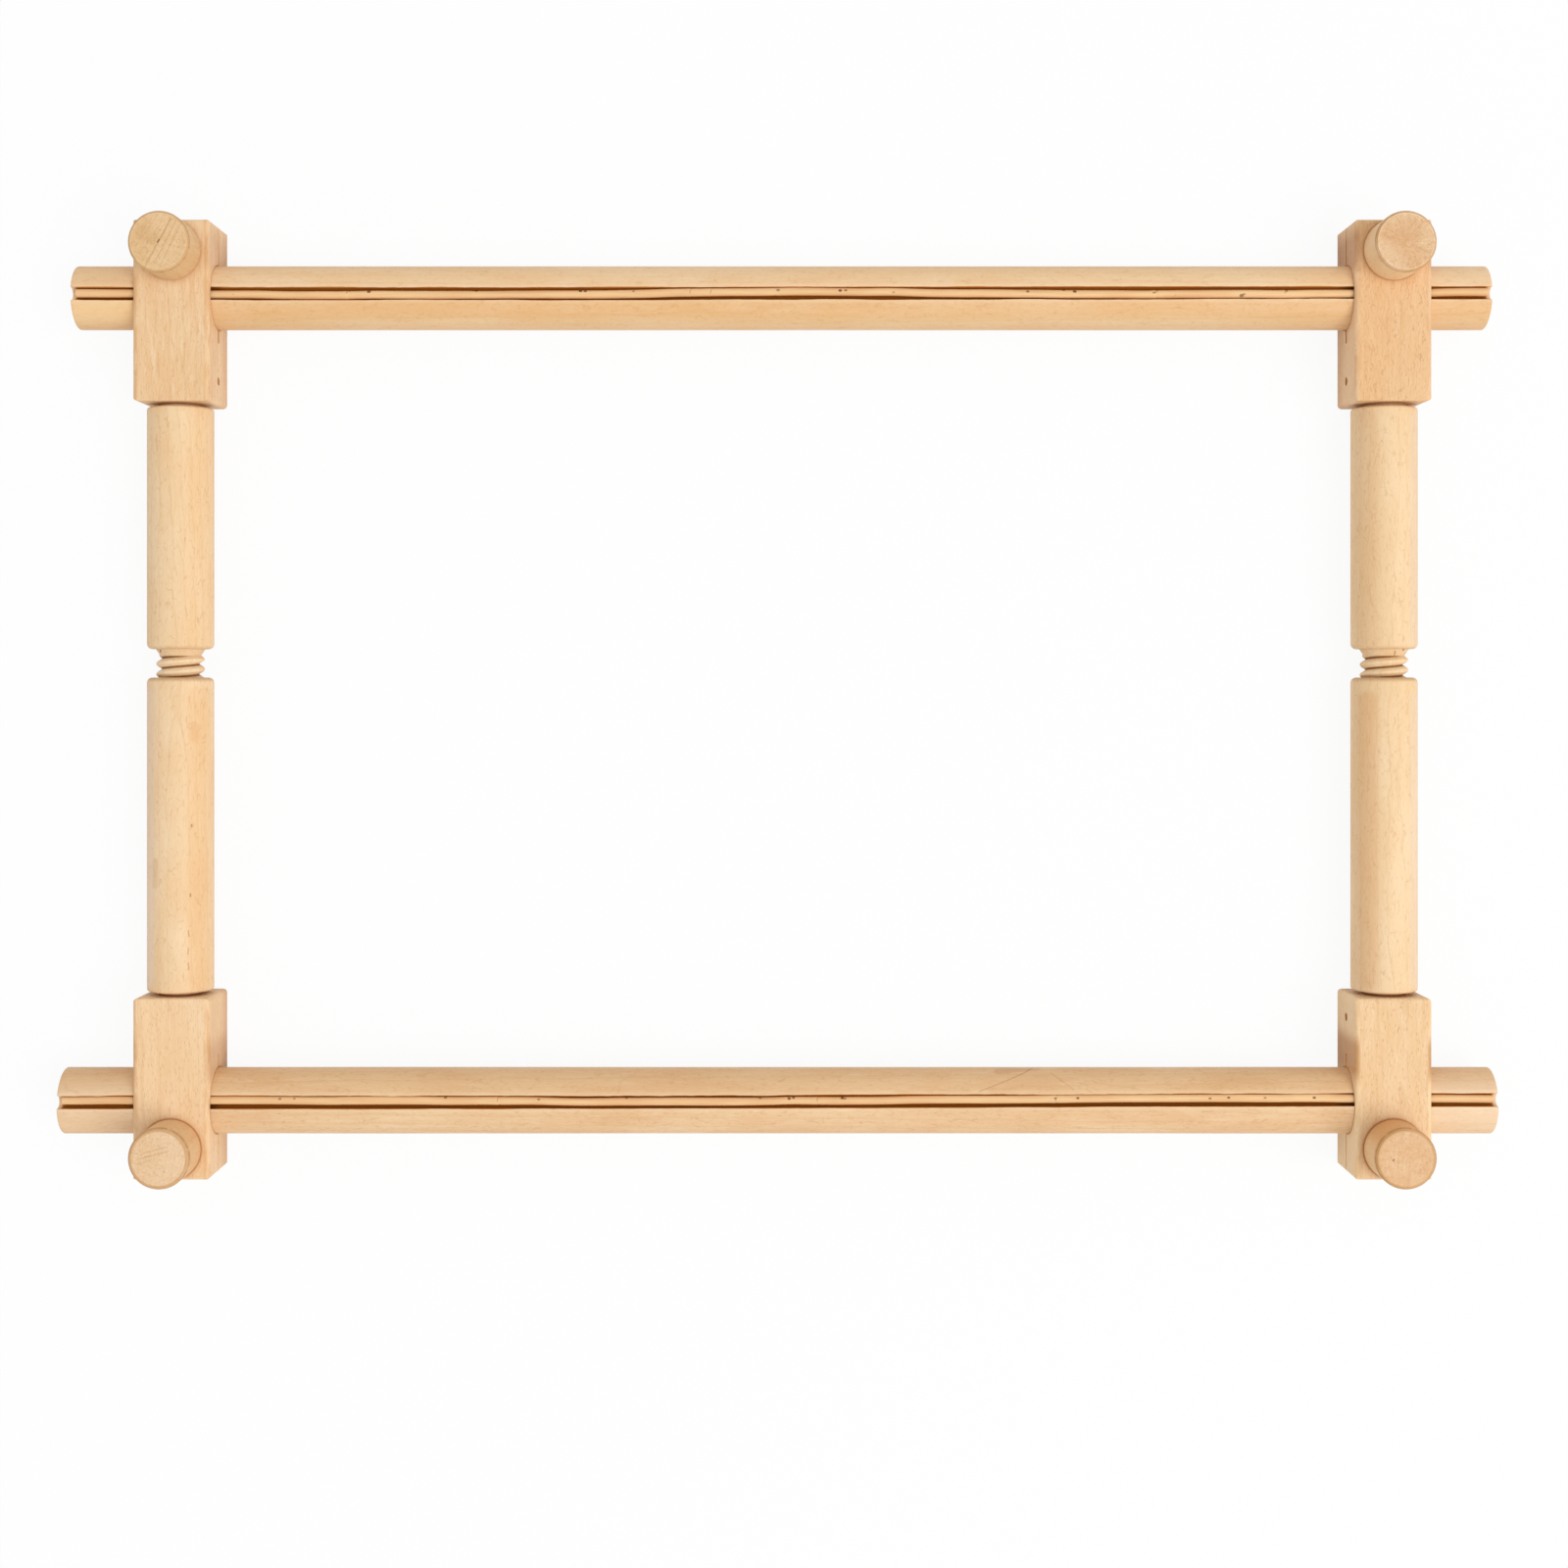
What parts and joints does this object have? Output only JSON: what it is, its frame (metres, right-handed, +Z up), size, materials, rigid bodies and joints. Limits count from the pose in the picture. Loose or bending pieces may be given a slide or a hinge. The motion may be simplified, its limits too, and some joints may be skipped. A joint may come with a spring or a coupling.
{
  "type": "embroidery roller frame",
  "caption": "Flat wooden roller frame for embroidery: grooved round bars with cane slips, split corner blocks with thumb screws, and two-part side posts with a wooden screw.",
  "frame": {"origin": "on the surface the frame lies on, under the middle of its box: the middle of the bottom bar's length and halfway between the two bars", "axes": "+X along the bars to the right, +Y from the bottom bar to the top bar, +Z up, towards the side with the thumb screws"},
  "size_m": [0.602, 0.4002, 0.05],
  "materials": {
    "bar_beech": "sanded, unvarnished",
    "block_beech": "sanded, unvarnished",
    "post_beech": "sanded, unvarnished",
    "knob_beech": "sanded end grain",
    "screw_wood": "turned, unvarnished",
    "cane": "peeled, smooth",
    "steel": "bright zinc",
    "zinc_insert": "zinc plated"
  },
  "bodies": {
    "bottom_left": {"bottom_left_block": "block_beech", "bottom_left_insert": "zinc_insert", "bottom_left_pin": "steel"},
    "bottom_right": {"bottom_right_block": "block_beech", "bottom_right_insert": "zinc_insert", "bottom_right_pin": "steel"},
    "top_left": {"top_left_block": "block_beech", "top_left_insert": "zinc_insert", "top_left_pin": "steel"},
    "top_right": {"top_right_block": "block_beech", "top_right_insert": "zinc_insert", "top_right_pin": "steel"},
    "bottom_roller": {"bottom_bar": "bar_beech", "bottom_cane": "cane"},
    "top_roller": {"top_bar": "bar_beech", "top_cane": "cane"},
    "left_lower_half": {"left_lower_post": "post_beech"},
    "right_lower_half": {"right_lower_post": "post_beech"},
    "left_upper_half": {"left_upper_post": "post_beech", "left_screw": "screw_wood"},
    "right_upper_half": {"right_upper_post": "post_beech", "right_screw": "screw_wood"},
    "top_left_clamp_stud": {"top_left_stud": "steel"},
    "top_left_clamp_knob": {"top_left_knob": "knob_beech"},
    "top_right_clamp_stud": {"top_right_stud": "steel"},
    "top_right_clamp_knob": {"top_right_knob": "knob_beech"},
    "bottom_left_clamp_stud": {"bottom_left_stud": "steel"},
    "bottom_left_clamp_knob": {"bottom_left_knob": "knob_beech"},
    "bottom_right_clamp_stud": {"bottom_right_stud": "steel"},
    "bottom_right_clamp_knob": {"bottom_right_knob": "knob_beech"}
  },
  "joints": [
    {"name": "bottom_bar_roll", "type": "hinge", "parent": "bottom_left", "child": "bottom_roller", "pos_m": [0, -0.1697, 0.0155], "axis": [1, 0, 0], "continuous": true},
    {"name": "top_bar_roll", "type": "hinge", "parent": "top_left", "child": "top_roller", "pos_m": [0, 0.1697, 0.0155], "axis": [1, 0, 0], "continuous": true},
    {"name": "width_slide", "type": "slide", "parent": "bottom_left", "child": "bottom_right", "axis": [1, 0, 0], "range_m": [-0.4, 0.024]},
    {"name": "left_height_slide", "type": "slide", "parent": "bottom_left", "child": "top_left", "axis": [0, 1, 0], "range_m": [-0.0085, 0.0278]},
    {"name": "right_height_slide", "type": "slide", "parent": "bottom_right", "child": "top_right", "axis": [0, 1, 0], "range_m": [-0.0086, 0.028]},
    {"name": "left_lower_post_turn", "type": "hinge", "parent": "bottom_left", "child": "left_lower_half", "pos_m": [-0.2527, 0, 0.0155], "axis": [0, -1, 0], "range_deg": [-351, 1141]},
    {"name": "left_upper_post_turn", "type": "hinge", "parent": "top_left", "child": "left_upper_half", "pos_m": [-0.2527, 0, 0.0155], "axis": [0, 1, 0], "range_deg": [-351, 1141]},
    {"name": "right_lower_post_turn", "type": "hinge", "parent": "bottom_right", "child": "right_lower_half", "pos_m": [0.2567, 0, 0.0155], "axis": [0, -1, 0], "range_deg": [-351, 1141]},
    {"name": "right_upper_post_turn", "type": "hinge", "parent": "top_right", "child": "right_upper_half", "pos_m": [0.2567, 0, 0.0155], "axis": [0, 1, 0], "range_deg": [-351, 1141]},
    {"name": "top_left_stud_slide", "type": "slide", "parent": "top_left", "child": "top_left_clamp_stud", "axis": [0, 0, 1], "range_m": [0, 0.00479]},
    {"name": "top_left_knob_turn", "type": "hinge", "parent": "top_left_clamp_stud", "child": "top_left_clamp_knob", "pos_m": [-0.2527, 0.1873, 0.0405], "axis": [0, 0, 1], "range_deg": [0, 2160]},
    {"name": "top_right_stud_slide", "type": "slide", "parent": "top_right", "child": "top_right_clamp_stud", "axis": [0, 0, 1], "range_m": [0, 0.00479]},
    {"name": "top_right_knob_turn", "type": "hinge", "parent": "top_right_clamp_stud", "child": "top_right_clamp_knob", "pos_m": [0.2567, 0.1873, 0.0405], "axis": [0, 0, 1], "range_deg": [0, 2160]},
    {"name": "bottom_left_stud_slide", "type": "slide", "parent": "bottom_left", "child": "bottom_left_clamp_stud", "axis": [0, 0, 1], "range_m": [0, 0.00479]},
    {"name": "bottom_left_knob_turn", "type": "hinge", "parent": "bottom_left_clamp_stud", "child": "bottom_left_clamp_knob", "pos_m": [-0.2527, -0.1873, 0.0405], "axis": [0, 0, 1], "range_deg": [0, 2160]},
    {"name": "bottom_right_stud_slide", "type": "slide", "parent": "bottom_right", "child": "bottom_right_clamp_stud", "axis": [0, 0, 1], "range_m": [0, 0.00479]},
    {"name": "bottom_right_knob_turn", "type": "hinge", "parent": "bottom_right_clamp_stud", "child": "bottom_right_clamp_knob", "pos_m": [0.2567, -0.1873, 0.0405], "axis": [0, 0, 1], "range_deg": [0, 2160]}
  ],
  "couplings": [
    {"joint": "right_height_slide", "follows": "left_height_slide", "ratio": 1},
    {"joint": "left_lower_post_turn", "follows": "left_height_slide", "rad_per_m": 714},
    {"joint": "left_upper_post_turn", "follows": "left_height_slide", "rad_per_m": 714},
    {"joint": "right_lower_post_turn", "follows": "left_height_slide", "rad_per_m": 714},
    {"joint": "right_upper_post_turn", "follows": "left_height_slide", "rad_per_m": 714},
    {"joint": "top_left_knob_turn", "follows": "top_left_stud_slide", "rad_per_m": 7854},
    {"joint": "top_right_knob_turn", "follows": "top_right_stud_slide", "rad_per_m": 7854},
    {"joint": "bottom_left_knob_turn", "follows": "bottom_left_stud_slide", "rad_per_m": 7854},
    {"joint": "bottom_right_knob_turn", "follows": "bottom_right_stud_slide", "rad_per_m": 7854}
  ]
}
